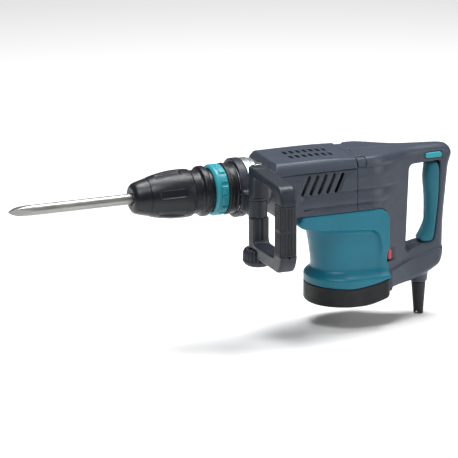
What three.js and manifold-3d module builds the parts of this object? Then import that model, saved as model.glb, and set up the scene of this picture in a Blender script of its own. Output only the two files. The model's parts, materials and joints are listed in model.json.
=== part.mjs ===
// Electric demolition hammer, millimetres, +Z up. The barrel runs along X with the bit pointing to -X,
// the motor stands below it, and the origin is the middle of the motor on the flat base that it stands on.
import * as THREE from "three";
import { mergeVertices } from "three/addons/utils/BufferGeometryUtils.js";
import Module from "manifold-3d";

const wasm = await Module();
wasm.setup();

// Driving dimensions. Stations along X are measured back from the front of the nose cap, and heights
// from the axis of the barrel.
const GAP = 0.3; // clearance between fixed neighbours
const AXIS_HEIGHT = 210; // barrel axis above the base
const MOTOR_X = 378; // motor axis behind the nose
const CRANK_X = 352; // crank axis behind the nose
const CRANK_THROW = 15;
const BIT_R = 9;
const BIT_OUT = 215; // how far the bit stands out of the nose
const SHANK_END = 112;
const SLEEVE_FRONT = 27;
const SLEEVE_REAR = 103;
const FLUTES = 6; // recesses round the release sleeve
const RING_FRONT = 137;
const RING_REAR = 159;
const RING_R = 42.5;
const RING_LUGS = 14;
const COLLAR_R = 41.5;
const BAND_FRONT = 178;
const BAND_REAR = 193;
const BAND_R = 49;
const BAND_INNER_R = 42.8;
const BARREL_FRONT = 160;
const BARREL_R = 48;
const BARREL_NECK_R = 33;
const BARREL_REAR = 246;
const CYLINDER_R = 26;
const BORE_R = 20;
const PISTON_PIN_X = 282;
const BODY_FRONT = 236;
const SEAM_X = 379; // joint line between the body covers and the rear handle
const BODY_HALF = 59;
const COVER_EDGE = 25; // lower edge of the top cover
const COVER_TOP = 46;
const BODY_BOTTOM = -46.7;
const SHELL = 4; // wall of the plastic covers
const MOTOR_NECK_R = 52;
const MOTOR_FLARE_R = 66;
const CAP_TOP = -177; // joint between the motor housing and the bottom cover, which rises to both ends
const CAP_TOP_FRONT = -174;
const CAP_TOP_REAR = -162;
const PANEL_REAR = 437;
const HANDLE_HALF = 19;
const OPENING = { front: 482, top: 12, bottom: -137 }; // finger gap of the rear handle
const GRIP_REAR = 543.5;
const COLUMN = { x: 192, y: -81, r: 15.5 }; // swivel column of the side handle
const SIDE_GRIP = { y: -198.5, wide: 31, deep: 34, top: 22, bottom: -63 };
const EAR = { top: 6, bottom: -29 }; // ears of the clamp round the swivel column
const LOOP_HALF = 14.5; // half the width of the side handle's flat loop

const slate = { color: 0x454b54, roughness: 0.55, metalness: 0 };
const black = { color: 0x26292e, roughness: 0.6, metalness: 0 };
const rubber = { color: 0x1d1f22, roughness: 0.85, metalness: 0 };
const teal = { color: 0x2b7d92, roughness: 0.4, metalness: 0 };
const ringTeal = { color: 0x3fa3ab, roughness: 0.35, metalness: 0 };
const steel = { color: 0xb4b6b4, roughness: 0.3, metalness: 1 };
const darkSteel = { color: 0x6a6d70, roughness: 0.4, metalness: 1 };
const aluminium = { color: 0xc2c5c8, roughness: 0.45, metalness: 1 };
const copper = { color: 0xa8653a, roughness: 0.4, metalness: 1 };
const brass = { color: 0xb8975a, roughness: 0.35, metalness: 1 };
const red = { color: 0xcc3a46, roughness: 0.2, metalness: 0 };
const carbon = { color: 0x303030, roughness: 0.7, metalness: 0 };

// ---- solids -----------------------------------------------------------------------------------------

// A closed three.js geometry as a solid: vertices merged, pinched triangles dropped, faces turned outward.
function solid(geometry) {
  const bare = geometry.clone();
  bare.deleteAttribute("normal");
  bare.deleteAttribute("uv");
  const merged = mergeVertices(bare, 1e-4);
  const at = merged.getAttribute("position");
  const index = merged.getIndex().array;
  const corner = [0, 1, 2].map(() => new THREE.Vector3());
  const kept = [];
  let volume = 0;
  for (let i = 0; i < index.length; i += 3) {
    const [a, b, c] = [index[i], index[i + 1], index[i + 2]];
    if (a === b || b === c || c === a) continue;
    kept.push(a, b, c);
    corner[0].fromBufferAttribute(at, a);
    corner[1].fromBufferAttribute(at, b);
    corner[2].fromBufferAttribute(at, c);
    volume += corner[0].dot(corner[1].clone().cross(corner[2]));
  }
  if (volume < 0) kept.reverse();
  const vertProperties = new Float32Array(at.array);
  return new wasm.Manifold(new wasm.Mesh({ numProp: 3, vertProperties, triVerts: new Uint32Array(kept) }));
}

function toGeometry(body) {
  const mesh = body.getMesh();
  const geometry = new THREE.BufferGeometry();
  geometry.setAttribute("position", new THREE.BufferAttribute(new Float32Array(mesh.vertProperties), 3));
  geometry.setIndex(new THREE.BufferAttribute(new Uint32Array(mesh.triVerts), 1));
  geometry.computeVertexNormals();
  return geometry;
}

function node(name, body, finish, position = [0, 0, 0], rotation = [0, 0, 0]) {
  const mesh = new THREE.Mesh(toGeometry(body), new THREE.MeshStandardMaterial(finish));
  mesh.name = name;
  mesh.position.set(...position);
  mesh.rotation.set(...rotation);
  return mesh;
}

const union = (...bodies) => bodies.reduce((sum, body) => sum.add(body));
const cut = (body, ...tools) => tools.reduce((rest, tool) => rest.subtract(tool), body);

function box(x0, x1, y0, y1, z0, z1) {
  const geometry = new THREE.BoxGeometry(x1 - x0, y1 - y0, z1 - z0);
  return solid(geometry.translate((x0 + x1) / 2, (y0 + y1) / 2, (z0 + z1) / 2));
}

// A turned solid round axis "x" or "z", from [station, radius] pairs. A profile that starts off the axis
// closes on itself and makes a ring.
function turned(profile, axis = "x", segments = 26) {
  const points = profile.map(([along, radius]) => new THREE.Vector2(radius, along));
  if (profile[0][1] > 0) points.push(points[0].clone());
  const geometry = new THREE.LatheGeometry(points, segments);
  return solid(axis === "x" ? geometry.rotateZ(-Math.PI / 2) : geometry.rotateX(Math.PI / 2));
}

const rod = (axis, from, to, radius, segments = 20) =>
  turned([[from, 0], [from, radius], [to, radius], [to, 0]], axis, segments);

const pipe = (axis, from, to, outer, inner, segments = 24) =>
  turned([[from, inner], [from, outer], [to, outer], [to, inner]], axis, segments);

// A closed outline through [u, v, radius] corners, each rounded by its own radius, or less on short sides.
function outline(corners) {
  const path = new THREE.Shape();
  const count = corners.length;
  corners.forEach(([u, v, radius = 0], i) => {
    const here = new THREE.Vector2(u, v);
    const before = new THREE.Vector2(...corners[(i + count - 1) % count].slice(0, 2));
    const after = new THREE.Vector2(...corners[(i + 1) % count].slice(0, 2));
    const reach = Math.min(radius, 0.48 * here.distanceTo(before), 0.48 * here.distanceTo(after));
    const enter = here.clone().add(before.sub(here).setLength(reach));
    const leave = here.clone().add(after.sub(here).setLength(reach));
    if (i === 0) path.moveTo(enter.x, enter.y);
    else path.lineTo(enter.x, enter.y);
    if (radius > 0) path.quadraticCurveTo(u, v, leave.x, leave.y);
  });
  path.closePath();
  return path;
}

// Prisms: a side outline (x, z) spans y0 to y1, a plan outline (x, y) spans z0 to z1, and a front
// outline (y, z) spans x0 to x1.
function extrude(shape, depth, curveSegments) {
  return new THREE.ExtrudeGeometry(shape, { depth, bevelEnabled: false, curveSegments });
}

const sidePrism = (shape, y0, y1, curve = 4) =>
  solid(extrude(shape, y1 - y0, curve).rotateX(Math.PI / 2).translate(0, y1, 0));

const planPrism = (shape, z0, z1, curve = 4) => solid(extrude(shape, z1 - z0, curve).translate(0, 0, z0));

function frontPrism(shape, x0, x1, curve = 4) {
  const turn = new THREE.Matrix4().makeBasis(
    new THREE.Vector3(0, 1, 0), new THREE.Vector3(0, 0, 1), new THREE.Vector3(1, 0, 0));
  return solid(extrude(shape, x1 - x0, curve).applyMatrix4(turn).translate(x0, 0, 0));
}

// A round bar of the given radius along a smooth curve through points.
function bentBar(points, radius, steps, sides = 12) {
  const curve = new THREE.CatmullRomCurve3(points.map((point) => new THREE.Vector3(...point)));
  const section = new THREE.Shape().absarc(0, 0, radius, 0, 2 * Math.PI, false);
  const settings = { steps, extrudePath: curve, bevelEnabled: false, curveSegments: sides };
  return solid(new THREE.ExtrudeGeometry(section, settings));
}

// A spur gear outline with square-cut teeth.
function gearOutline(teeth, tip, root) {
  const pitch = (2 * Math.PI) / teeth;
  const points = [];
  for (let i = 0; i < teeth; i += 1) {
    for (const [radius, part] of [[root, 0.05], [tip, 0.2], [tip, 0.5], [root, 0.65]]) {
      const angle = (i + part) * pitch;
      points.push(new THREE.Vector2(radius * Math.cos(angle), radius * Math.sin(angle)));
    }
  }
  return new THREE.Shape(points);
}

// A motor housing plan: half a circle in front and straight sides back to the given station.
function motorPlan(radius, rear, corner = 6) {
  const shape = new THREE.Shape();
  shape.absarc(0, 0, radius, Math.PI / 2, 1.5 * Math.PI, false);
  shape.lineTo(rear - corner, -radius);
  shape.quadraticCurveTo(rear, -radius, rear, corner - radius);
  shape.lineTo(rear, radius - corner);
  shape.quadraticCurveTo(rear, radius, rear - corner, radius);
  shape.closePath();
  return shape;
}

// ---- front end --------------------------------------------------------------------------------------

function chiselBit() {
  const bar = rod("x", -BIT_OUT, SHANK_END, BIT_R, 24);
  const taper = [
    [-BIT_OUT, -1], [-BIT_OUT + 9, -6.4, 16], [-BIT_OUT + 47, -BIT_R, 20], [SHANK_END + 1, -BIT_R],
    [SHANK_END + 1, BIT_R], [-BIT_OUT + 47, BIT_R, 20], [-BIT_OUT + 9, 6.4, 16], [-BIT_OUT, 1]];
  const point = sidePrism(outline(taper), -10, 10).intersect(planPrism(outline(taper), -10, 10));
  const grooves = [-1, 1].map((side) => box(22, 75, 6.6, 10.6, -4.2, 4.2).scale([1, side, 1]));
  return node("chisel_bit", cut(bar.intersect(point), ...grooves), steel);
}

function noseCap() {
  const profile = [
    [0, 11], [0, 20], [4, 24.5], [10, 27], [SLEEVE_FRONT - GAP, 31.2], [SLEEVE_FRONT - GAP, 17.8],
    [5.7, 17.8], [5.7, 9.4], [3, 9.4]];
  return node("nose_cap", turned(profile), rubber);
}

function releaseSleeve() {
  const profile = [
    [SLEEVE_FRONT, 18.2], [SLEEVE_FRONT, 31.2], [36, 33.6], [52, 37], [70, 40], [92, 40.3], [100, 39.5],
    [SLEEVE_REAR, 38], [SLEEVE_REAR, 37.2], [78, 37.2], [78, 27], [68, 27], [68, 18.2]];
  const flutes = [];
  for (let i = 0; i < FLUTES; i += 1) {
    const flute = box(41, 83, -7, 7, 0, 8).rotate([0, -6, 0]).translate([0, 0, 29.4]);
    flutes.push(flute.rotate([73 + (i * 360) / FLUTES, 0, 0]));
  }
  return node("release_sleeve", cut(turned(profile, "x", 30), ...flutes), black);
}

function sleeveSpring() {
  const turns = 4;
  const points = [];
  for (let i = 0; i <= turns * 10; i += 1) {
    const angle = (i / 10) * 2 * Math.PI;
    points.push([69.3 + (19.4 * i) / (turns * 10), 22.5 * Math.cos(angle), 22.5 * Math.sin(angle)]);
  }
  return node("sleeve_spring", bentBar(points, 1, turns * 10, 2), darkSteel);
}

function toolHolder() {
  const profile = [
    [6, 9.4], [6, 17.5], [90, 17.5], [90, 24], [158, 24], [158, 28.5], [196, 28.5],
    [196, 15.5], [148, 15.5], [148, 11.5], [122, 11.5], [122, 9.4]];
  const window = box(41.5, 66.5, -20, 20, -4.5, 4.5);
  return node("tool_holder", cut(turned(profile), window), darkSteel);
}

const lockingRoller = (name, y) => node(name, rod("x", -12, 12, 4, 12), steel, [54, y, 0]);

function holderCover() {
  const profile = [
    [92, 24.3], [92, 36.5], [119, 36.5], [119, 41], [121, 42], [130, 42], [130, 35.7], [158, 35.7],
    [158, 28.9], [157.6, 24.3]];
  return node("holder_cover", turned(profile, "x", 30), black);
}

function changeRing() {
  const profile = [
    [0, 36], [0, 40.5], [2, RING_R], [9, RING_R], [9, RING_R - 0.6], [RING_REAR - RING_FRONT, RING_R - 0.6],
    [RING_REAR - RING_FRONT, 36]];
  const notches = [];
  for (let i = 0; i < RING_LUGS; i += 1) {
    notches.push(box(10, 25, -2.6, 2.6, 41.2, 46).rotate([(i * 360) / RING_LUGS, 0, 0]));
  }
  return node("change_ring", cut(turned(profile, "x", 30), ...notches), ringTeal, [RING_FRONT, 0, 0]);
}

const ringSeal = () =>
  node("ring_seal", turned([[159.6, 36.3], [159.6, 42], [162, 43], [165, 43], [165, 36.3]]), rubber);

function barrelCollar() {
  const profile = [[165.3, 36.3], [165.3, 40], [167, COLLAR_R], [177.7, COLLAR_R], [177.7, 36.3]];
  return node("barrel_collar", turned(profile), black);
}

function barrel() {
  const profile = [
    [BARREL_FRONT, 29.5], [BARREL_FRONT, 36], [BAND_FRONT, 36], [BAND_FRONT, 42], [193.6, 42],
    [193.6, BARREL_R], [214, BARREL_R], [217, 45], [217, BARREL_NECK_R], [BARREL_REAR, BARREL_NECK_R],
    [BARREL_REAR, CYLINDER_R + 0.4], [198, CYLINDER_R + 0.4], [198, 29.5]];
  return node("barrel", turned(profile, "x", 30), aluminium);
}

function impactBolt() {
  const profile = [
    [124, 0], [124, 10], [125, 11], [148.5, 11], [150, 15], [186, 15], [186, 0]];
  return node("impact_bolt", turned(profile, "x", 24), darkSteel);
}

function striker() {
  const profile = [
    [198, 0], [198, 11], [206, 12], [208, 19.6], [219, 19.6], [219, 18.4], [223, 18.4], [223, 19.6],
    [236, 19.6], [236, 0]];
  return node("striker", turned(profile, "x", 24), steel);
}

const strikerRing = () => node("striker_ring", pipe("x", 219.3, 222.7, 19.6, 18.6, 24), rubber);
const cylinder = () => node("cylinder", pipe("x", 198.3, 322, CYLINDER_R, BORE_R), steel);

function piston() {
  const profile = [
    [0, 0], [0, 19.6], [4, 19.6], [4, 18.4], [8, 18.4], [8, 19.6], [36, 19.6], [36, 0]];
  const slot = box(8.5, 40, -10, 10, -7, 7);
  const pinHole = rod("z", -25, 25, 4.6, 16).translate([18, 0, 0]);
  return node("piston", cut(turned(profile, "x", 28), slot, pinHole), aluminium, [PISTON_PIN_X - 18, 0, 0]);
}

const pistonRing = () =>
  node("piston_ring", pipe("x", 4.3, 7.7, 19.6, 18.6, 28), rubber, [PISTON_PIN_X - 18, 0, 0]);
const pistonPin = () => node("piston_pin", rod("z", -16, 16, 4.3, 16), steel, [PISTON_PIN_X, 0, 0]);

function connectingRod() {
  const reach = CRANK_X - CRANK_THROW - PISTON_PIN_X;
  const smallEnd = rod("z", -5, 5, 8, 18);
  const bigEnd = rod("z", -5, 5, 12, 22).translate([reach, 0, 0]);
  const bar = box(0, reach, -5, 5, -4, 4);
  const pinHole = rod("z", -9, 9, 4.6, 16);
  const crankHole = rod("z", -9, 9, 6.6, 18).translate([reach, 0, 0]);
  return node("connecting_rod", cut(union(smallEnd, bigEnd, bar), pinHole, crankHole), darkSteel,
    [PISTON_PIN_X, 0, 0]);
}

// ---- gear case and crank ----------------------------------------------------------------------------

const GEAR_CASE = { front: 246.3, rear: 390, half: 44, bottom: -46, top: 34, floor: -28 };

function gearHousing() {
  const { front, rear, half, bottom, top, floor } = GEAR_CASE;
  const side = outline([[front, bottom], [rear, bottom], [rear, top, 8], [front, top, 8]]);
  const bore = rod("x", front - 5, 330, CYLINDER_R + 0.3, 28);
  const chamber = box(322.3, rear - 5, -30, 30, floor, 30);
  const crankSeat = rod("z", -42.3, floor + 5, 13.9, 24).translate([CRANK_X, 0, 0]);
  const crankHole = rod("z", bottom - 5, floor, 9, 20).translate([CRANK_X, 0, 0]);
  const motorHole = rod("z", bottom - 5, floor + 5, 10.9, 20).translate([MOTOR_X, 0, 0]);
  const body = sidePrism(side, -half, half);
  return node("gear_housing", cut(body, bore, chamber, crankSeat, crankHole, motorHole), aluminium);
}

function crankShaft() {
  const gear = planPrism(gearOutline(22, 20.6, 18.9), -24, -13);
  const shaft = rod("z", -43.6, -24, 7, 16);
  const pin = rod("z", -13, -5.5, 6, 16).translate([-CRANK_THROW, 0, 0]); // ends just below the rod's big end
  return node("crank_shaft", union(gear, shaft, pin), darkSteel, [CRANK_X, 0, 0]);
}

const crankBearing = () =>
  node("crank_bearing", pipe("z", -41.8, -28.8, 13.6, 7.3, 20), steel, [CRANK_X, 0, 0]);

// ---- motor ------------------------------------------------------------------------------------------

function armature() {
  const profile = [
    [-201, 0], [-201, 6], [-186, 6], [-186, 15], [-168, 15], [-168, 8], [-150, 8], [-150, 26], [-95, 26],
    [-95, 6], [-26, 6], [-26, 0]];
  const pinion = planPrism(gearOutline(6, 5, 3.8), -26, -13);
  return node("armature", union(turned(profile, "z", 24), pinion), copper);
}

function coolingFan() {
  const hub = pipe("z", -90, -74, 10, 6.3, 20);
  const disc = pipe("z", -90, -87.5, 38, 9, 28);
  const blades = [];
  for (let i = 0; i < 9; i += 1) {
    blades.push(box(9, 36, -0.9, 0.9, -88, -76).rotate([0, 0, i * 40]));
  }
  return node("cooling_fan", union(hub, disc, ...blades), black);
}

const motorBearing = (name, z, inner, outer) => node(name, pipe("z", z, z + 8, outer, inner, 20), steel);

function stator() {
  const ring = pipe("z", -155, -93, 44, 27.5, 28);
  const slots = [0, 90].map((angle) => box(-31, 31, -6, 6, -160, -90).rotate([0, 0, angle]));
  return node("stator", cut(ring, ...slots), darkSteel);
}

function endBracket() {
  const plate = pipe("z", -191, -187, 45, 11.4, 28);
  const seat = pipe("z", -196, -187, 15, 11.4, 24);
  return node("end_bracket", union(plate, seat), aluminium);
}

function brushSet(side) {
  const name = side < 0 ? "left" : "right";
  const angle = side < 0 ? Math.PI : 0;
  const sleeve = cut(box(-6, 6, 17.5, 43, -186.6, -168), box(-4, 4, 10, 50, -183, -171));
  const brush = box(-3.7, 3.7, 15.4, 33, -182.7, -171.3);
  const group = new THREE.Group();
  group.rotation.z = angle;
  group.add(node(`brush_holder_${name}`, sleeve, brass));
  group.add(node(`carbon_brush_${name}`, brush, carbon));
  return group;
}

// The teal motor housing: a round neck and flare, a raised side panel behind it, and a flange on top
// whose nose runs forward under the gear case.
function motorHousing() {
  const rear = PANEL_REAR - GAP - MOTOR_X;
  const nose = 273 - MOTOR_X;
  const flange = outline([
    [nose, -62, 3], [nose + 9, -47, 6], [rear, -47, 24], [rear, CAP_TOP + GAP],
    [48, CAP_TOP + GAP], [43, -112, 8], [40, -86, 10], [24, -81, 8], [nose + 66, -79, 10],
    [nose + 8, -70, 6]]);
  const panel = sidePrism(flange, -BODY_HALF, BODY_HALF);
  const neck = planPrism(motorPlan(MOTOR_NECK_R, rear - 5, 4), -166, -70, 10);
  const flare = [];
  const steps = 4;
  for (let i = 0; i < steps; i += 1) {
    const t = (i + 1) / steps;
    const radius = MOTOR_NECK_R + (MOTOR_FLARE_R - MOTOR_NECK_R) * t * t;
    flare.push(planPrism(motorPlan(radius, rear, 10), CAP_TOP + GAP, -160 - 4.5 * i, 10));
  }
  const hollow = rod("z", -190, -72, 46, 24);
  const throat = rod("z", -80, -40, 14, 20);
  const body = union(panel, neck, ...flare);
  return node("motor_housing", cut(body, hollow, throat, sidePrism(capOutline(GAP), -80, 80)), teal);
}

// Side view of the bottom cover about the motor axis, grown by the given clearance.
function capOutline(clear) {
  const rear = PANEL_REAR - MOTOR_X;
  return outline([
    [-75, CAP_TOP_FRONT + clear], [-75, -AXIS_HEIGHT], [22, -AXIS_HEIGHT, 14], [rear + 5, -197, 4],
    [rear + 5, CAP_TOP_REAR + clear], [32, CAP_TOP + 5 + clear, 14], [-5, CAP_TOP + clear, 14]]);
}

// The black bottom cover stands on a flat base with a rounded edge, and is open at the top.
function bottomCover() {
  const rear = PANEL_REAR - GAP - MOTOR_X;
  const layers = [[-205, 1], [-208, 0.975], [-AXIS_HEIGHT, 0.94]];
  const wall = layers.map(([z, scale]) =>
    planPrism(motorPlan(MOTOR_FLARE_R * scale, rear * scale, 14), z, -150, 10));
  const hollow = planPrism(motorPlan(MOTOR_FLARE_R - SHELL, 47, 3), -206, -150, 8);
  const slots = [];
  for (let i = 0; i < 5; i += 1) {
    slots.push(box(-30 + 8 * i, -26 + 8 * i, 24, 46, -215, -200));
    slots.push(box(-30 + 8 * i, -26 + 8 * i, -46, -24, -215, -200));
  }
  const shell = union(...wall).intersect(sidePrism(capOutline(0), -80, 80));
  return node("bottom_cover", cut(shell, hollow, ...slots), black);
}

// ---- covers -----------------------------------------------------------------------------------------

function topCover() {
  const side = outline([
    [BODY_FRONT - 3, COVER_EDGE + GAP], [BODY_FRONT - 3, 33, 1], [BODY_FRONT + 2, COVER_TOP - 1, 3],
    [320, COVER_TOP], [SEAM_X - GAP, 42], [SEAM_X - GAP, COVER_EDGE + GAP]]);
  const front = outline([
    [-BODY_HALF, 0], [-BODY_HALF, 27, 6], [-BODY_HALF + 4, 38, 8], [-BODY_HALF + 13, 46.5, 5],
    [BODY_HALF - 13, 46.5, 5], [BODY_HALF - 4, 38, 8], [BODY_HALF, 27, 6], [BODY_HALF, 0]]);
  const body = sidePrism(side, -BODY_HALF, BODY_HALF).intersect(frontPrism(front, 220, SEAM_X));
  const inside = outline([
    [-BODY_HALF + SHELL, 0], [-BODY_HALF + SHELL, 28, 5], [-BODY_HALF + 14, 37.6, 5],
    [BODY_HALF - 14, 37.6, 5], [BODY_HALF - SHELL, 28, 5], [BODY_HALF - SHELL, 0]]);
  const hollow = frontPrism(inside, BODY_FRONT + SHELL, SEAM_X + 5);
  const throat = rod("x", 220, 260, BARREL_NECK_R + 0.6, 32);
  const vents = [];
  for (let i = 0; i < 7; i += 1) {
    const x = 275 + 11.6 * i;
    vents.push(box(x, x + 5.6, 3.5, 22, 30, 60), box(x, x + 5.6, -24, -5.5, 30, 60));
  }
  return node("top_cover", cut(body, hollow, throat, ...vents), slate);
}

function bodyCover() {
  const side = outline([
    [BODY_FRONT, BODY_BOTTOM, 4], [BODY_FRONT, COVER_EDGE], [SEAM_X - GAP, COVER_EDGE],
    [SEAM_X - GAP, BODY_BOTTOM]]);
  const body = sidePrism(side, -BODY_HALF, BODY_HALF);
  const hollow = box(BODY_FRONT + SHELL, SEAM_X + 5, -BODY_HALF + SHELL, BODY_HALF - SHELL, -60, 40);
  const throat = rod("x", 220, 260, BARREL_NECK_R + 0.6, 32);
  const vents = [];
  for (let i = 0; i < 5; i += 1) {
    const louvre = box(-2.4, 2.4, -80, 80, -17.5, 17.5).rotate([0, 24, 0]);
    vents.push(louvre.translate([287.5 + 14.9 * i, 0, 5]));
  }
  return node("body_cover", cut(body, hollow, throat, ...vents), slate);
}

// ---- rear handle ------------------------------------------------------------------------------------

const SWITCH = { x: 531, z: 23 };
const LAMP = { x: 442, z: -130.5 };
const DIAL = { x: 466, z: -58, r: 10 };
const GUARD = { x: 513, z: -187 };

// Rear and lower edges of the soft grip in side view, which the handle follows at a small distance.
const GRIP_BACK = [
  [GRIP_REAR, -4, 8], [542, -50, 20], [537, -97, 12], [535, -113, 8], [531, -126, 6], [515, -127, 5]];

function handleSolid() {
  const side = outline([
    [SEAM_X, 42], [488, 43, 10], [546, 40, 12], [562, 36, 8], [571, 22, 8], [562, 4, 10], [552, -92, 20],
    [551, -150, 10], [546, -166, 9], [526, -177, 6], [491, -189, 8], [450, -190], [449, -195, 3],
    [PANEL_REAR, -198.5], [PANEL_REAR, BODY_BOTTOM, 24], [SEAM_X, BODY_BOTTOM]]);
  const plan = outline([
    [SEAM_X, -58], [426, -57, 10], [462, -36, 16], [486, -24, 12], [536, -HANDLE_HALF, 20], [574, -17, 12],
    [574, 17, 12], [536, HANDLE_HALF, 20], [486, 24, 12], [462, 36, 16], [426, 57, 10], [SEAM_X, 58]]);
  const shoulders = outline([
    [-60, -260], [-60, 28, 6], [-45, 44, 14], [45, 44, 14], [60, 28, 6], [60, -260]]);
  const { front, top, bottom } = OPENING;
  const opening = outline([
    [front - 4, bottom, 10], [front + 4, top, 9], [GRIP_REAR + GAP, top, 4],
    ...GRIP_BACK.map(([x, z, radius]) => [x + GAP, z - GAP, radius])]);
  const blank = sidePrism(side, -70, 70).intersect(planPrism(plan, -260, 100));
  const loop = cut(blank.intersect(frontPrism(shoulders, 370, 600)), sidePrism(opening, -70, 70));
  const boss = turned([[GUARD.z - 8.6, 0], [GUARD.z - 8.6, 14], [-172, 17], [-172, 0]], "z", 18);
  return loop.add(boss.translate([GUARD.x, 0, 0]));
}

function rearHandle() {
  const whole = handleSolid();
  const pocket = box(SEAM_X - 5, 396, -46, 46, -60, 36);
  const chest = box(390, 440, -46, 46, -40, 34);
  const well = box(436, 474, -24, 24, -170, 30);
  const switchBay = box(490, 550, -9.3, 9.3, 15, 31);
  const leverSlot = planPrism(outline([[-16, -5.2, 5], [16, -5.2, 5], [16, 5.2, 5], [-16, 5.2, 5]]), -40, 40)
    .rotate([90, 0, 0]).translate([SWITCH.x, 0, SWITCH.z]);
  const guardHole = rod("z", GUARD.z - 60, GUARD.z + 22, 9.6, 14).translate([GUARD.x, 0, 0]);
  const lampSeat = box(LAMP.x - 4.3, LAMP.x + 13, -70, -40, LAMP.z - 12, LAMP.z + 12);
  const dialSeat = box(DIAL.x - 10.5, DIAL.x + 10.5, 21.5, 60, DIAL.z - 5, DIAL.z + 5);
  const body = cut(whole, pocket, chest, well, switchBay, leverSlot, guardHole, lampSeat, dialSeat,
    ...HANDLE_SCREWS.map(handleScrewHole));
  const group = new THREE.Group();
  group.add(node("handle_left", body.intersect(box(300, 600, -80, -GAP / 2, -300, 100)), slate));
  group.add(node("handle_right", body.intersect(box(300, 600, GAP / 2, 80, -300, 100)), slate));
  return group;
}

function softGrip() {
  const side = outline([
    [509, -121.5, 3], [515, -112, 8], [520, -98, 12], [522, -60, 20], [519, -17, 12], [523, 9, 5],
    [GRIP_REAR - 3.5, 9.5, 5], ...GRIP_BACK]);
  const plan = outline([
    [506, -6, 6], [530, -HANDLE_HALF + 1, 16], [GRIP_REAR + 1, -HANDLE_HALF, 1],
    [GRIP_REAR + 1, HANDLE_HALF, 1], [530, HANDLE_HALF - 1, 16], [506, 6, 6]]);
  return node("soft_grip", sidePrism(side, -30, 30, 3).intersect(planPrism(plan, -200, 60, 3)), teal);
}

function switchLever() {
  const shape = outline([[-15, -4.6, 4], [15, -4.6, 4], [15, 4.6, 4], [-15, 4.6, 4]]);
  const lever = sidePrism(shape, -21.5, 21.5, 3);
  return node("switch_lever", lever, teal, [SWITCH.x, 0, SWITCH.z]);
}

const mainSwitch = () => node("main_switch", box(491, 513, -9, 9, 15.3, 30.7), black);
const speedController = () => node("speed_controller", box(400, 440, -30, 30, -22, -8), black);

function speedDial() {
  const wheel = solid(extrude(gearOutline(16, DIAL.r, DIAL.r - 0.8), 9, 3).translate(0, 0, -4.5));
  return node("speed_dial", wheel, black, [DIAL.x, 32, DIAL.z]);
}

function serviceLamp() {
  const shape = outline([[-3.5, -9.5, 2], [3.5, -9.5, 2], [3.5, 9.5, 2], [-3.5, 9.5, 2]]);
  return node("service_lamp", sidePrism(shape, -47.5, -40.4, 3), red, [LAMP.x, 0, LAMP.z]);
}

// A tapered rubber boot whose stem sits inside the lower bridge, with a notch across its tip.
function cordGuard() {
  const profile = [[20, 4.5], [20, 9.2], [-9, 9.2], [-9, 11.5], [-12, 11.8], [-64, 7.8], [-64, 4.5]];
  const notch = sidePrism(outline([[-4, -57], [3, -70], [-11, -70]]), -20, 20);
  return node("cord_guard", cut(turned(profile, "z", 20), notch), rubber, [GUARD.x, 0, GUARD.z]);
}

const cordClamp = () => node("cord_clamp", box(454, 470, -18, -4, -150, -140), black);

// Screws that draw the handle halves together, entered from the right: x, height, y of the head's face.
const SCREW_REACH = 12; // how far the tips stand into the left half
const HANDLE_SCREWS = [[468, -100, 27], [548.5, -60, 13], [500, -150, 14], [466, -184, 25]];

function handleScrew(index) {
  const [x, z, face] = HANDLE_SCREWS[index];
  const tip = -(face + SCREW_REACH);
  const shank = turned([[tip, 0], [tip, 2.6], [-4, 2.6], [-4, 4.6], [-1, 4.6], [0, 3.4], [0, 0]], "z", 12);
  const socket = box(-2.2, 2.2, -0.7, 0.7, -1.6, 5);
  return node(`handle_screw_${index + 1}`, cut(shank, socket), steel, [x, face, z], [-Math.PI / 2, 0, 0]);
}

function handleScrewHole([x, z, face]) {
  const hole = union(rod("z", -(face + SCREW_REACH + 1), 0, 3, 12), rod("z", -4.4, 30, 5.2, 12));
  return hole.rotate([-90, 0, 0]).translate([x, face, z]);
}

// ---- side handle ------------------------------------------------------------------------------------

// Half of the clamp band round the barrel, with its ear round the swivel column.
function clampHalf(name, sign) {
  const half = sign > 0 ? box(150, 220, -130, 80, GAP / 2, 90) : box(150, 220, -130, 80, -90, -GAP / 2);
  const band = pipe("x", BAND_FRONT, BAND_REAR, BAND_R, BAND_INNER_R, 32);
  const web = box(COLUMN.x - 13, COLUMN.x + 1, COLUMN.y, -40, EAR.bottom, EAR.top);
  const ear = rod("z", EAR.bottom, EAR.top, COLUMN.r, 28).translate([COLUMN.x, COLUMN.y, 0]);
  const bore = rod("z", -60, 60, 5, 16).translate([COLUMN.x, COLUMN.y, 0]);
  const hollow = rod("x", 150, 220, BAND_INNER_R, 32);
  return node(name, cut(union(band, web, ear).intersect(half), bore, hollow), black);
}

// Plan of a rounded rectangle round the axis of the side grip.
function gripPlan(wide, deep, radius) {
  const y = SIDE_GRIP.y - COLUMN.y;
  return outline([
    [-wide / 2, y - deep / 2, radius], [wide / 2, y - deep / 2, radius], [wide / 2, y + deep / 2, radius],
    [-wide / 2, y + deep / 2, radius]]);
}

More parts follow.
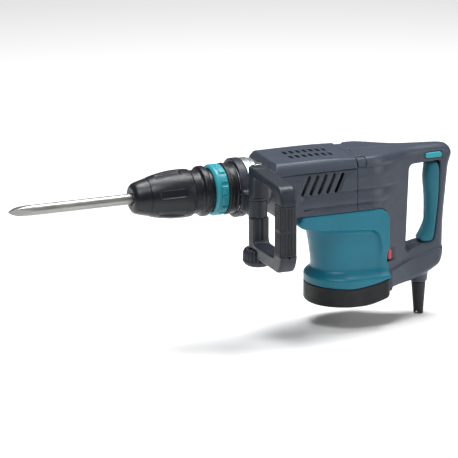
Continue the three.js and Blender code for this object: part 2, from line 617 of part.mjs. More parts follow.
// A flat loop whose column turns on the clamp bolt, with a slimmer core inside the rubber grip.
function sideHandle() {
  const { wide, deep, top, bottom } = SIDE_GRIP;
  const outer = SIDE_GRIP.y - COLUMN.y - deep / 2;
  const inner = outer + deep;
  const silhouette = outline([
    [3, -82], [-28.5, -82, 3], [-30, -94, 8], [outer + 14, -95, 20], [outer, -72, 20], [outer, 34, 20],
    [outer + 12, 53, 18], [-12, 55.8, 4], [3, 55.8]]);
  const window = outline([
    [-15, 41, 8], [-15, -70, 8], [inner - 1, -70, 12], [inner, -56, 10], [inner, 28, 12],
    [inner + 9, 39, 12]]);
  const loop = frontPrism(silhouette, -LOOP_HALF, LOOP_HALF).subtract(frontPrism(window, -40, 40));
  const column = turned([[-82, 0], [-82, COLUMN.r], [50, COLUMN.r], [55, 12], [56, 9], [56, 0]], "z", 24);
  const core = planPrism(gripPlan(wide - 7, deep - 7, 5), bottom - 5, top + 5);
  const gripRoom = box(-30, 30, outer - 5, inner + 5, bottom - GAP, top + GAP).subtract(core);
  const bore = rod("z", -90, 70, 5, 16);
  const [under, over] = [EAR.bottom - GAP, EAR.top + GAP];
  const clampRoom = rod("z", under, over, 24, 24).add(box(-30, 30, 0, 30, under, over));
  const groove = box(-1.8, 1.8, -17, 1.3 - COLUMN.r, -66, EAR.bottom);
  return node("side_handle", cut(union(loop, column), bore, clampRoom, gripRoom, groove), black);
}

function sideGrip() {
  const { wide, deep, top, bottom } = SIDE_GRIP;
  const rubberBody = planPrism(gripPlan(wide, deep, 12), bottom, top);
  const core = planPrism(gripPlan(wide - 7 + 2 * GAP, deep - 7 + 2 * GAP, 5), bottom - 5, top + 5);
  return node("side_grip", rubberBody.subtract(core), rubber);
}

function clampBolt() {
  const profile = [[-104, 0], [-104, 4], [56.4, 4], [56.4, 7], [60, 7], [61, 5.5], [61, 0]];
  return node("clamp_bolt", turned(profile, "z", 16), steel);
}

function clampKnob() {
  const lobes = 24;
  const profile = [[-112, 0], [-112, 17], [-109, 22], [-102, 26], [-87, 25.5], [-82.4, 22], [-82.4, 0]];
  const flutes = [];
  for (let i = 0; i < lobes; i += 1) {
    flutes.push(rod("z", -104, -80, 1.4, 4).translate([26.2, 0, 0]).rotate([0, 0, (i * 360) / lobes]));
  }
  const bore = rod("z", -104.6, -80, 4.4, 16);
  return node("clamp_knob", cut(turned(profile, "z", 24), bore, ...flutes), black);
}

// ---- assembly ---------------------------------------------------------------------------------------

const tool = new THREE.Group();
tool.position.set(-MOTOR_X, 0, AXIS_HEIGHT);

tool.add(chiselBit(), noseCap(), releaseSleeve(), sleeveSpring(), toolHolder());
tool.add(lockingRoller("locking_roller_left", -11), lockingRoller("locking_roller_right", 11));
tool.add(holderCover(), changeRing(), ringSeal(), barrelCollar(), barrel());
tool.add(impactBolt(), striker(), strikerRing(), cylinder());
tool.add(piston(), pistonRing(), pistonPin(), connectingRod());
tool.add(gearHousing(), crankShaft(), crankBearing(), topCover(), bodyCover());

const motor = new THREE.Group();
motor.position.set(MOTOR_X, 0, 0);
motor.add(armature(), coolingFan(), stator(), endBracket(), motorHousing(), bottomCover());
motor.add(motorBearing("motor_bearing_upper", -43, 6.3, 10.6));
motor.add(motorBearing("motor_bearing_lower", -195.5, 6.3, 11.1));
motor.add(brushSet(-1), brushSet(1));
tool.add(motor);

tool.add(rearHandle(), softGrip(), switchLever(), mainSwitch(), speedController(), speedDial());
tool.add(serviceLamp(), cordGuard(), cordClamp());
tool.add(...HANDLE_SCREWS.map((_, index) => handleScrew(index)));

tool.add(clampHalf("clamp_upper", 1), clampHalf("clamp_lower", -1));
const swivel = new THREE.Group();
swivel.position.set(COLUMN.x, COLUMN.y, 0);
swivel.add(sideHandle(), sideGrip(), clampBolt(), clampKnob());
tool.add(swivel);

const hammer = new THREE.Group();
hammer.name = "demolition_hammer";
hammer.add(tool);

export default hammer;
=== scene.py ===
"""The looks of a demolition hammer: fine meshes, finishes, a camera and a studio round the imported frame."""
import json
import math

import bpy
import numpy as np
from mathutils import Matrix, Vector


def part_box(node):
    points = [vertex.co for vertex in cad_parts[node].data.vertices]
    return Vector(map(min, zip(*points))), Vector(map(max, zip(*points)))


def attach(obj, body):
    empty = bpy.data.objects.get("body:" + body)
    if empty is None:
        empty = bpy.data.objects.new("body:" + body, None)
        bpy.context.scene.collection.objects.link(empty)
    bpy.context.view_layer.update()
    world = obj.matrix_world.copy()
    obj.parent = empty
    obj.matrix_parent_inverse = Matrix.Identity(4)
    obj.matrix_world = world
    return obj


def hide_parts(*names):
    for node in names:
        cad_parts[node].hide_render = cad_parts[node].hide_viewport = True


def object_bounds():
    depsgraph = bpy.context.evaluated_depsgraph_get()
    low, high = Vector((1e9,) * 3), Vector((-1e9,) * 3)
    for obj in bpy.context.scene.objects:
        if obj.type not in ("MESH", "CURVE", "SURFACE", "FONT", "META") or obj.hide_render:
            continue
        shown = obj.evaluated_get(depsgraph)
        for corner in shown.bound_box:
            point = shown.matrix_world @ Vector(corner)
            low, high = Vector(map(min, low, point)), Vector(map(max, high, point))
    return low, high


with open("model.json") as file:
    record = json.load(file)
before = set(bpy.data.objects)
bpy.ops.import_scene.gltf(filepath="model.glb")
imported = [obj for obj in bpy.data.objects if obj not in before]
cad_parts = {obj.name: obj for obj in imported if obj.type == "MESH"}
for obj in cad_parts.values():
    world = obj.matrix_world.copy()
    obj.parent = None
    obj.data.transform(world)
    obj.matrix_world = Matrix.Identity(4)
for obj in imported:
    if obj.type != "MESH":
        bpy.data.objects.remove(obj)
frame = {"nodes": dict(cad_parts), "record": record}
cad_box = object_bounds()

# Millimetres in the tool's own axes: x runs back from the nose, y to the right, z up from the barrel axis.
MM = 0.001
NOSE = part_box("nose_cap")[0].x / MM
AXIS = (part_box("cylinder")[0].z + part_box("cylinder")[1].z) / 2 / MM
ORIGIN = np.array([NOSE, 0.0, AXIS])

BODY_OF = {n: body for body, nodes in frame["record"]["behaviour"]["bodies"].items() for n in nodes}
SLOT_OF = {row["node"]: row["material_slot"] for row in frame["record"]["subparts"]}


def span(node):
    """A CAD node's lowest and highest corners in the tool's axes, in millimetres."""
    low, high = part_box(node)
    return np.array(low) / MM - ORIGIN, np.array(high) / MM - ORIGIN


# ---- camera ------------------------------------------------------------------------------------------

VIEW_AZIMUTH = math.radians(-22.5)
VIEW_ELEVATION = math.radians(16)
VIEW_DISTANCE = 25.0  # metres, far enough for a nearly parallel view
VIEW_WIDTH = 0.7523  # what the picture spans at the target
VIEW_TARGET = Vector((-0.2037, 0.0002, 0.1397))


def make_camera():
    back = Vector((
        math.sin(VIEW_AZIMUTH) * math.cos(VIEW_ELEVATION),
        -math.cos(VIEW_AZIMUTH) * math.cos(VIEW_ELEVATION),
        math.sin(VIEW_ELEVATION)))
    data = bpy.data.cameras.new("camera")
    data.sensor_width = 36
    data.lens = data.sensor_width * VIEW_DISTANCE / VIEW_WIDTH
    data.clip_end = 4 * VIEW_DISTANCE
    camera = bpy.data.objects.new("camera", data)
    camera.location = VIEW_TARGET + back * VIEW_DISTANCE
    camera.rotation_mode = "QUATERNION"
    camera.rotation_quaternion = (-back).to_track_quat("-Z", "Y")
    bpy.context.scene.collection.objects.link(camera)
    bpy.context.scene.camera = camera


make_camera()

# ---- finishes ----------------------------------------------------------------------------------------


SPECULAR = 0.34
MOTTLE_SIZE, GLOSS_SIZE, RUB_SIZE = 0.045, 0.012, 0.009  # metres
GLOSS_SPREAD = 0.07
SHARP_FROM, SHARP_TO = 0.53, 0.60  # pointiness of an edge that starts to rub, and of one that is rubbed


def finish(name, colour, roughness, metallic=0, grain=0.0006, bump=0.15, mottle=0.10, wear=None,
           worn=0.12, rings=None, coat=0.0, sheen=0.0):
    """A moulded, cast or turned surface: mottled colour, uneven gloss, fine grain and rubbed edges.

    grain is the size of the fine relief in metres, and rings stretches it round one axis ("x" or "z")
    into the marks of turning. wear is the colour of the rubbed edges and worn is how far they go.
    """
    material = bpy.data.materials.new(name)
    material.use_nodes = True
    tree = material.node_tree
    shader = tree.nodes["Principled BSDF"]
    place = tree.nodes.new("ShaderNodeTexCoord").outputs["Object"]

    def noise(size, detail, stretch=(1, 1, 1)):
        mapping = tree.nodes.new("ShaderNodeMapping")
        mapping.inputs["Scale"].default_value = stretch
        tree.links.new(place, mapping.inputs["Vector"])
        node = tree.nodes.new("ShaderNodeTexNoise")
        node.inputs["Scale"].default_value = 1 / size
        node.inputs["Detail"].default_value = detail
        tree.links.new(mapping.outputs["Vector"], node.inputs["Vector"])
        return node.outputs["Fac"]

    def spread(value, low, high, start=0.3, end=0.7):
        node = tree.nodes.new("ShaderNodeMapRange")
        node.inputs["From Min"].default_value = start
        node.inputs["From Max"].default_value = end
        node.inputs["To Min"].default_value = low
        node.inputs["To Max"].default_value = high
        tree.links.new(value, node.inputs["Value"])
        return node.outputs["Result"]

    def blend(amount, first, second):
        node = tree.nodes.new("ShaderNodeMix")
        node.data_type = "RGBA"
        tree.links.new(amount, node.inputs["Factor"])
        for socket, value in ((node.inputs["A"], first), (node.inputs["B"], second)):
            if isinstance(value, bpy.types.NodeSocket):
                tree.links.new(value, socket)
            else:
                socket.default_value = (*value, 1)
        return node.outputs["Result"]

    dark = [c * (1 - mottle) for c in colour]
    light = [min(1, c * (1 + mottle)) for c in colour]
    shade = blend(spread(noise(MOTTLE_SIZE, 4), 0, 1), dark, light)
    speckle = spread(noise(grain * 3, 2), 0, mottle)
    shade = blend(speckle, shade, [min(1, c * 1.5 + 0.01) for c in colour])
    gloss = spread(noise(GLOSS_SIZE, 5), roughness - GLOSS_SPREAD, roughness + GLOSS_SPREAD)
    if wear is not None:
        pointiness = tree.nodes.new("ShaderNodeNewGeometry").outputs["Pointiness"]
        edges = spread(pointiness, 0, 1, SHARP_FROM, SHARP_TO)
        rubbed = tree.nodes.new("ShaderNodeMath")
        rubbed.operation = "MULTIPLY"
        tree.links.new(edges, rubbed.inputs[0])
        tree.links.new(spread(noise(RUB_SIZE, 6), 0, worn, 0.4, 0.7), rubbed.inputs[1])
        shade = blend(rubbed.outputs["Value"], shade, wear)
    tree.links.new(shade, shader.inputs["Base Color"])
    tree.links.new(gloss, shader.inputs["Roughness"])
    stretch = {"x": (1, 0.02, 0.02), "z": (0.02, 0.02, 1), None: (1, 1, 1)}[rings]
    relief = tree.nodes.new("ShaderNodeBump")
    relief.inputs["Strength"].default_value = bump
    relief.inputs["Distance"].default_value = grain
    tree.links.new(noise(grain, 3, stretch), relief.inputs["Height"])
    tree.links.new(relief.outputs["Normal"], shader.inputs["Normal"])
    shader.inputs["Metallic"].default_value = metallic
    shader.inputs["Specular IOR Level"].default_value = SPECULAR
    shader.inputs["Coat Weight"].default_value = coat
    shader.inputs["Sheen Weight"].default_value = sheen
    return material


LOOKS = {
    "bit_steel": dict(
        colour=(0.29, 0.29, 0.275), roughness=0.36, metallic=0.9, grain=0.0009, bump=0.25, mottle=0.10,
        wear=(0.5, 0.5, 0.48), worn=0.5, rings="x"),
    "sleeve_plastic": dict(
        colour=(0.0055, 0.0070, 0.0105), roughness=0.36, grain=0.0005, bump=0.12, mottle=0.15,
        wear=(0.06, 0.065, 0.07)),
    "nose_rubber": dict(
        colour=(0.0060, 0.0075, 0.0110), roughness=0.34, grain=0.0005, bump=0.10, mottle=0.15,
        wear=(0.05, 0.055, 0.06)),
    "ring_plastic": dict(
        colour=(0.0220, 0.2350, 0.2900), roughness=0.36, grain=0.0005, bump=0.08, mottle=0.06,
        wear=(0.20, 0.45, 0.46)),
    "seal_rubber": dict(
        colour=(0.008, 0.008, 0.009), roughness=0.50, grain=0.0005, bump=0.15, mottle=0.15,
        wear=(0.04, 0.04, 0.04)),
    "cast_aluminium": dict(
        colour=(0.50, 0.52, 0.55), roughness=0.34, metallic=1, grain=0.0008, bump=0.20, mottle=0.06,
        wear=(0.80, 0.81, 0.83), rings="x"),
    # painted shade: this casting is near-black so that the inside seen through the louvres stays dark
    "painted_aluminium": dict(
        colour=(0.020, 0.020, 0.022), roughness=0.50, grain=0.0007, bump=0.25, mottle=0.12,
        wear=(0.20, 0.20, 0.21)),
    "dark_steel": dict(
        colour=(0.16, 0.165, 0.17), roughness=0.38, metallic=1, grain=0.0006, bump=0.15, mottle=0.12,
        wear=(0.4, 0.4, 0.4)),
    "bright_steel": dict(
        colour=(0.55, 0.55, 0.55), roughness=0.26, metallic=1, grain=0.0006, bump=0.12, mottle=0.06,
        wear=(0.8, 0.8, 0.8)),
    "winding_copper": dict(
        colour=(0.50, 0.20, 0.08), roughness=0.35, metallic=1, grain=0.0008, bump=0.35, mottle=0.15,
        wear=(0.8, 0.45, 0.25), rings="z"),
    "brush_brass": dict(
        colour=(0.56, 0.40, 0.16), roughness=0.33, metallic=1, grain=0.0006, bump=0.12, mottle=0.10,
        wear=(0.8, 0.65, 0.35)),
    "inner_plastic": dict(
        colour=(0.015, 0.015, 0.016), roughness=0.55, grain=0.0006, bump=0.15, mottle=0.12,
        wear=(0.06, 0.06, 0.06)),
    "cover_plastic": dict(
        colour=(0.0330, 0.0415, 0.0600), roughness=0.42, grain=0.00045, bump=0.16, mottle=0.10,
        wear=(0.10, 0.115, 0.13)),
    "motor_plastic": dict(
        colour=(0.0015, 0.1250, 0.1850), roughness=0.38, grain=0.0005, bump=0.10, mottle=0.06,
        wear=(0.10, 0.30, 0.35)),
    "base_plastic": dict(
        colour=(0.0025, 0.0030, 0.0050), roughness=0.52, grain=0.00045, bump=0.16, mottle=0.12,
        wear=(0.06, 0.065, 0.07)),
    "grip_rubber": dict(
        colour=(0.0060, 0.1150, 0.1600), roughness=0.52, grain=0.0004, bump=0.25, mottle=0.08,
        wear=(0.10, 0.30, 0.35), sheen=0.10),
    "switch_plastic": dict(
        colour=(0.020, 0.260, 0.310), roughness=0.38, grain=0.0005, bump=0.08, mottle=0.06,
        wear=(0.25, 0.50, 0.52)),
    "lamp_lens": dict(
        colour=(0.50, 0.03, 0.06), roughness=0.18, grain=0.0010, bump=0.06, mottle=0.10, coat=0.4),
    "guard_rubber": dict(
        colour=(0.012, 0.013, 0.016), roughness=0.60, grain=0.0004, bump=0.20, mottle=0.15,
        wear=(0.05, 0.05, 0.055)),
    "side_handle_plastic": dict(
        colour=(0.0125, 0.0165, 0.0245), roughness=0.42, grain=0.00045, bump=0.16, mottle=0.12,
        wear=(0.09, 0.10, 0.115)),
    "side_grip_rubber": dict(
        colour=(0.0100, 0.0125, 0.0175), roughness=0.55, grain=0.0004, bump=0.22, mottle=0.12,
        wear=(0.07, 0.075, 0.085), sheen=0.05),
}

FINISH = {slot: finish(slot, **look) for slot, look in LOOKS.items()}

for node, body in frame["nodes"].items():
    body.data.materials.clear()
    body.data.materials.append(FINISH[SLOT_OF[node]])

# ---- meshes ------------------------------------------------------------------------------------------

ROUND_STEPS = 7


def rounded(corners, closed=True):
    """An outline through (u, v) or (u, v, radius) corners, each with a radius turned into a curve."""
    points = []
    count = len(corners)
    for i, corner in enumerate(corners):
        here = np.array(corner[:2], float)
        radius = corner[2] if len(corner) > 2 else 0
        if radius == 0 or (not closed and i in (0, count - 1)):
            points.append(here)
            continue
        back = np.array(corners[i - 1][:2]) - here
        ahead = np.array(corners[(i + 1) % count][:2]) - here
        reach = min(radius, 0.48 * np.hypot(*back), 0.48 * np.hypot(*ahead))
        enter = here + back / np.hypot(*back) * reach
        leave = here + ahead / np.hypot(*ahead) * reach
        for t in np.linspace(0, 1, ROUND_STEPS):
            points.append((1 - t) ** 2 * enter + 2 * t * (1 - t) * here + t ** 2 * leave)
    return np.array(points)


def subdivided(path, step, closed):
    """The same path with points no further apart than step."""
    ends = np.roll(path, -1, axis=0) if closed else path[1:]
    points = []
    for a, b in zip(path, ends):
        parts = max(1, math.ceil(np.hypot(*(b - a)) / step))
        points.extend(a + (b - a) * k / parts for k in range(parts))
    if not closed:
        points.append(path[-1])
    return np.array(points)


def outward(points, faces):
    """The same faces, turned round if they enclose a negative volume."""
    volume = 0.0
    for group in faces:
        if len(group) == 0:
            continue
        a = points[group[:, 0]]
        for k in range(1, group.shape[1] - 1):
            b, c = points[group[:, k]], points[group[:, k + 1]]
            volume += np.einsum("ij,ij->i", a, np.cross(b, c)).sum()
    return faces if volume > 0 else [group[:, ::-1] for group in faces]


def turned(profile, axis="x", centre=(0, 0), around=120, step=3.0, shape=None):
    """A turned piece from (station, radius) corners that close on themselves or end on the axis.

    Angles are measured from the left side of the tool, upwards, for axis "x", and from +x for axis "z".
    shape(station, angle, radius) gives a new radius, for flutes and lugs.
    """
    closed = profile[0][1] > 0
    path = subdivided(rounded(profile, closed), step, closed)
    station = path[:, :1]
    angle = np.arange(around)[None, :] * 2 * math.pi / around
    radius = np.repeat(path[:, 1:], around, axis=1)
    if shape is not None:
        radius = shape(station, angle, radius)
    station = np.repeat(station, around, axis=1)
    if axis == "x":
        rows = np.stack([station, centre[0] - radius * np.cos(angle), centre[1] + radius * np.sin(angle)], -1)
    else:
        rows = np.stack([centre[0] + radius * np.cos(angle), centre[1] + radius * np.sin(angle), station], -1)
    tips = []
    fans = []
    if not closed:
        tips = [rows[0].mean(0), rows[-1].mean(0)]
        rows = rows[1:-1]
    count = len(rows)
    ids = np.arange(count * around).reshape(count, around)
    upper = np.roll(ids, -1, axis=0) if closed else ids[1:]
    lower = ids if closed else ids[:-1]
    quads = np.stack([lower, np.roll(lower, -1, 1), np.roll(upper, -1, 1), upper], -1).reshape(-1, 4)
    if not closed:
        for tip, ring in enumerate((ids[0], ids[-1][::-1])):
            centre_id = np.full(around, count * around + tip)
            fans.append(np.stack([np.roll(ring, -1), ring, centre_id], -1))
    points = np.concatenate([rows.reshape(-1, 3), np.array(tips).reshape(-1, 3)])
    fans = np.concatenate(fans) if fans else np.zeros((0, 3), int)
    return points, outward(points, [quads, fans])


SETTLING_ROUNDS = 2
PROBE, LONGEST_MOVE = 0.05, 0.35  # in grid steps
LEAST_SLOPE = 0.5


def sculpted(field, low, high, step):
    """The skin of the solid where field(x, y, z) is negative, as one quad mesh.

    Every cell of the grid that the skin passes through holds one vertex, which is then moved onto the
    skin along the field's slope.
    """
    axes = [np.arange(a - 2.5 * step, b + 3.5 * step, step) for a, b in zip(low, high)]
    value = field(*np.meshgrid(*axes, indexing="ij", sparse=True))
    value = np.broadcast_to(value, [len(a) for a in axes]).astype(np.float32)
    shape = np.array(value.shape)
    cells, crossings, quads = [], [], []

    def flat_ids(cell):
        return (cell[..., 0] * shape[1] + cell[..., 1]) * shape[2] + cell[..., 2]

    def at(p):
        return np.asarray(field(p[:, 0], p[:, 1], p[:, 2]), float)

    for axis in range(3):
        first = value.take(range(shape[axis] - 1), axis)
        second = value.take(range(1, shape[axis]), axis)
        edge = np.argwhere((first < 0) != (second < 0))
        a, b = first[tuple(edge.T)], second[tuple(edge.T)]
        place = np.stack([axes[k][edge[:, k]] for k in range(3)], -1)
        place[:, axis] += step * a / (a - b)
        one, two = np.eye(3, dtype=int)[[(axis + 1) % 3, (axis + 2) % 3]]
        around = [flat_ids(edge - back) for back in (0 * one, one, one + two, two)]
        cells.extend(around)
        crossings.extend([place] * 4)
        ring = np.stack(around, -1)
        quads.append(np.where((a < 0)[:, None], ring, ring[:, ::-1]))
    used, index = np.unique(np.concatenate(cells), return_inverse=True)
    crossings = np.concatenate(crossings)
    count = np.bincount(index)
    points = np.stack([np.bincount(index, crossings[:, k]) / count for k in range(3)], -1)
    quads = np.searchsorted(used, np.concatenate(quads))
    probe = PROBE * step
    for _ in range(SETTLING_ROUNDS):
        ahead = [at(points + probe * d) for d in np.eye(3)]
        behind = [at(points - probe * d) for d in np.eye(3)]
        slope = (np.stack(ahead, -1) - np.stack(behind, -1)) / (2 * probe)
        move = -slope * (at(points) / np.maximum((slope ** 2).sum(1), LEAST_SLOPE ** 2))[:, None]
        points = points + np.clip(move, -LONGEST_MOVE * step, LONGEST_MOVE * step)
    return points, [quads, np.zeros((0, 3), int)]


def add_piece(node, skin):
    """A fine piece that stands for a CAD node, with the body, slot and finish of that node."""
    points, faces = skin
    mesh = bpy.data.meshes.new(f"{node}_fine")
    corners = np.concatenate([group.ravel() for group in faces])
    sizes = np.concatenate([np.full(len(group), group.shape[1]) for group in faces])
    mesh.vertices.add(len(points))
    mesh.vertices.foreach_set("co", ((points + ORIGIN) * MM).astype(np.float32).ravel())
    mesh.loops.add(len(corners))
    mesh.loops.foreach_set("vertex_index", corners.astype(np.int32))
    mesh.polygons.add(len(sizes))
    starts = np.concatenate([[0], np.cumsum(sizes)[:-1]])
    mesh.polygons.foreach_set("loop_start", starts.astype(np.int32))
    mesh.polygons.foreach_set("use_smooth", np.ones(len(sizes), bool))
    mesh.update(calc_edges=True)
    mesh.materials.append(FINISH[SLOT_OF[node]])
    piece = bpy.data.objects.new(mesh.name, mesh)
    bpy.context.scene.collection.objects.link(piece)
    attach(piece, BODY_OF[node])
    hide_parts(node)


# ---- fields: distances in millimetres, negative inside the solid ---------------------------------------


def prism(corners):
    """The field of an outline, in the two axes that it is drawn in."""
    start = rounded(corners)
    end = np.roll(start, -1, axis=0)

    def field(u, v):
        u, v = np.broadcast_arrays(u, v)
        nearest = np.full(u.shape, np.inf)
        inside = np.zeros(u.shape, bool)
        for (au, av), (bu, bv) in zip(start, end):
            eu, ev = bu - au, bv - av
            along = np.clip(((u - au) * eu + (v - av) * ev) / (eu * eu + ev * ev), 0, 1)
            nearest = np.minimum(nearest, (u - au - along * eu) ** 2 + (v - av - along * ev) ** 2)
            if ev != 0:
                inside ^= ((av > v) != (bv > v)) & (u < au + (v - av) * eu / ev)
        return np.where(inside, -1, 1) * np.sqrt(nearest)

    return field


def slab(v, low, high):
    """The space between two parallel planes."""
    return np.maximum(low - v, v - high)


def both(a, b, radius=0.0):
    """What two solids share, with its edge rounded."""
    corner = np.hypot(np.maximum(a + radius, 0), np.maximum(b + radius, 0))
    return np.minimum(np.maximum(a, b), -radius) + corner


def either(a, b, radius=0.0):
    """Two solids joined, with a fillet between them."""
    return -both(-a, -b, radius)


def carved(a, b, radius=0.0):
    """The first solid less the second, with the new edge rounded."""
    return both(a, -b, radius)


def ramp(v, start, end):
    """0 before start and 1 after end, turning smoothly between them."""
    t = np.clip((v - start) / (end - start), 0, 1)
    return t * t * (3 - 2 * t)


def capsule(u, v, half_u, half_v, radius):
    """A rectangle with rounded corners about the origin."""
    du, dv = np.abs(u) - half_u + radius, np.abs(v) - half_v + radius
    return np.hypot(np.maximum(du, 0), np.maximum(dv, 0)) + np.minimum(np.maximum(du, dv), 0) - radius


SEAM_EDGE = 0.7  # rounding of the edges along a joint between covers
SHELL = 4  # wall of the plastic covers

# ---- front end ---------------------------------------------------------------------------------------

bit_low, bit_high = span("chisel_bit")
BIT_R = bit_high[1]
BIT_POINT = 48  # length of the point
BIT_TIP = 1  # half width of its blunt tip


def bit_shape(x, angle, radius):
    """A blunt four-sided point on the front of the round bar, with bulging faces."""
    along = np.clip((x - bit_low[0]) / BIT_POINT, 0, 1)
    taper = BIT_TIP + (BIT_R - BIT_TIP) * (1 - (1 - along) ** 2.2) ** 0.75
    return np.minimum(radius, taper / np.maximum(np.abs(np.cos(angle)), np.abs(np.sin(angle))))


def make_bit():
    front, rear = bit_low[0], bit_high[0]
    profile = [
        (front, 0), (front, 2.5), (front + 3, BIT_R), (rear - 3, BIT_R), (rear, BIT_R - 2.5), (rear, 0)]
    add_piece("chisel_bit", turned(profile, around=128, step=2.0, shape=bit_shape))


SLEEVE_FRONT = span("release_sleeve")[0][0]
SLEEVE_REAR = span("release_sleeve")[1][0]
BORE_R = 18.2  # bore of the sleeve over the tool holder
SPRING_ROOM_R = 27
FLUTES = 6
FLUTE_AT = math.radians(17)  # the first flute, above the left side of the tool
FLUTE_X, FLUTE_HALF_LENGTH, FLUTE_HALF_WIDTH = 62, 22, 7.4
FLUTE_DEEPEST = 3


def make_nose():
    rear = span("nose_cap")[1][0]
    profile = [
        (0, 11, 1), (0, 19.5, 4), (3.5, 24.6, 3), (10, 27.2, 3), (rear, 31.2, 0.6), (rear, 17.8), (5.7, 17.8),
        (5.7, 9.4, 0.4), (2, 9.4, 1)]
    add_piece("nose_cap", turned(profile, step=1.5))


def make_sleeve():
    profile = [
        (SLEEVE_FRONT, BORE_R), (SLEEVE_FRONT, 31.2, 0.8), (36, 34.3, 10), (52, 37.6, 10), (70, 40, 12),
        (92, 40.3, 6), (SLEEVE_REAR - 2, 39.3, 2), (SLEEVE_REAR, 37.9, 0.6), (SLEEVE_REAR, 37.2), (78, 37.2),
        (78, SPRING_ROOM_R), (68, SPRING_ROOM_R), (68, BORE_R)]

    def shape(x, angle, radius):
        turn = np.mod(angle - FLUTE_AT + math.pi / FLUTES, 2 * math.pi / FLUTES) - math.pi / FLUTES
        edge = capsule(x - FLUTE_X, turn * radius, FLUTE_HALF_LENGTH, FLUTE_HALF_WIDTH, 3.5)
        pocket = 1 - ramp(edge, -1.3, 0.1)
        floor = 29.6 + 0.105 * x
        outside = radius > np.where(x < 70, 28, 38)
        return radius - np.where(outside, pocket * np.clip(radius - floor, 0, FLUTE_DEEPEST), 0)

    add_piece("release_sleeve", turned(profile, around=300, step=1.0, shape=shape))


def make_holder_cover():
    low, high = span("holder_cover")
    front, rear = low[0], high[0]
    profile = [
        (front, 24.3), (front, 36.2, 1), (117, 36.4, 3), (119.5, 41.2, 1.5), (121.5, 41.8, 1.2),
        (128.5, 41.8, 1.5), (130.2, 40.4, 0.8), (130.2, 35.7, 0.5), (rear, 35.7), (rear, 28.9),
        (rear - 0.4, 24.3)]
    add_piece("holder_cover", turned(profile, step=1.5))


LUGS = 14
LUG_HEIGHT = 1.9
RING_BORE_R = 36.1
LINER_BORE_R = 36.3  # bore of the seal and the collar


def make_ring():
    low, high = span("change_ring")
    front, rear, outer = low[0], high[0], high[2]
    profile = [
        (front, RING_BORE_R), (front, outer - 3.4, 0.6), (front + 3.2, outer - 0.2, 1.0),
        (front + 4.2, outer, 0.4), (front + 8.6, outer, 0.5), (front + 9.4, outer - 1.9, 0.4),
        (rear, outer - 2.2, 0.6), (rear, RING_BORE_R)]

    def shape(x, angle, radius):
        turn = np.mod(angle, 2 * math.pi / LUGS) - math.pi / LUGS
        lug = capsule(x - (front + 15.4), turn * radius, 5.4, 6.6, 1.2)
        raised = LUG_HEIGHT * (1 - ramp(lug, -0.7, 0.1))
        return radius + np.where((x > front + 9.2) & (radius > 38), raised, 0)

    add_piece("change_ring", turned(profile, around=280, step=0.8, shape=shape))


def make_rings():
    seal_low, seal_high = span("ring_seal")
    front, rear, outer = seal_low[0], seal_high[0], seal_high[2]
    seal = [
        (front, LINER_BORE_R), (front, outer - 1, 0.8), (front + 2.2, outer, 1), (rear, outer, 0.8),
        (rear, LINER_BORE_R)]
    add_piece("ring_seal", turned(seal, step=1.5))
    low, high = span("barrel_collar")
    front, rear, outer = low[0], high[0], high[2]
    collar = [
        (front, LINER_BORE_R), (front, outer - 1, 0.4), (front + 1.6, outer, 0.8), (rear - 4, outer, 1),
        (rear - 3, outer + 1, 0.6), (rear, outer + 1, 0.4), (rear, LINER_BORE_R)]
    add_piece("barrel_collar", turned(collar, step=1.5))


BAND_FRONT, BAND_REAR = 178, 193  # the clamp band of the side handle, along the barrel
BAND_SEAT_R = 42
BARREL_BORE_R, REAR_BORE_R = 29.5, 26.4
REAR_BORE_FROM = 198


def make_barrel():
    low, high = span("barrel")
    front, rear, outer = low[0], high[0], high[2]
    profile = [
        (front, BARREL_BORE_R), (front, 36), (BAND_FRONT, 36), (BAND_FRONT, BAND_SEAT_R),
        (BAND_REAR + 0.6, BAND_SEAT_R), (BAND_REAR + 0.6, outer - 0.8, 0.8), (195.2, outer, 0.8),
        (205, outer, 0.8), (206.2, outer - 1.3, 0.6), (213, outer - 1.6, 1.5),
        (216.6, outer - 4.5, 1.5), (217, 36, 3), (224, 34.6, 3), (226, 33, 2), (rear, 33),
        (rear, REAR_BORE_R), (REAR_BORE_FROM, REAR_BORE_R), (REAR_BORE_FROM, BARREL_BORE_R)]
    add_piece("barrel", turned(profile, step=1.5))


for make in (make_bit, make_nose, make_sleeve, make_holder_cover, make_ring, make_rings, make_barrel):
    make()

# ---- body covers -------------------------------------------------------------------------------------

body_low, body_high = span("body_cover")
BODY_FRONT, SEAM_X = body_low[0], body_high[0]
BODY_BOTTOM, COVER_EDGE = body_low[2], body_high[2]
BODY_HALF = body_high[1]
COVER_TOP = span("top_cover")[1][2]
THROAT_R = 33.6

# Creases along the side, each a shallow V that is wider below: height, width of the bevel below it, where
# it starts and is full, and where it has faded out.
CREASES = ((25, 15, 200, 300, 464), (-13, 14, 268, 284, 466), (-35.5, 9, 282, 300, 445))
CREASE_DEPTH = 4.0


def strakes(x, z):
    """How far the side is set in at each crease."""
    inset = 0.0
    for line, width, front, full, rear in CREASES:
        fade = ramp(x, front, full) * (1 - ramp(x, rear - 50, rear))
        below = np.clip(1 - (line - z) / width, 0, 1) ** 1.4 * (z <= line)
        above = np.clip(1 - (z - line) / 5, 0, 1) ** 1.8 * (z > line)
        inset = inset + CREASE_DEPTH * fade * (below + above)
    return inset


LOUVRES = 5
LOUVRE_LEAN = math.radians(24)
LOUVRE_FIRST = BODY_FRONT + 51.5
LOUVRE_PITCH = 14.9
LOUVRE_Z = 5  # middle of the slots
RECESS_DEPTH = 1.8


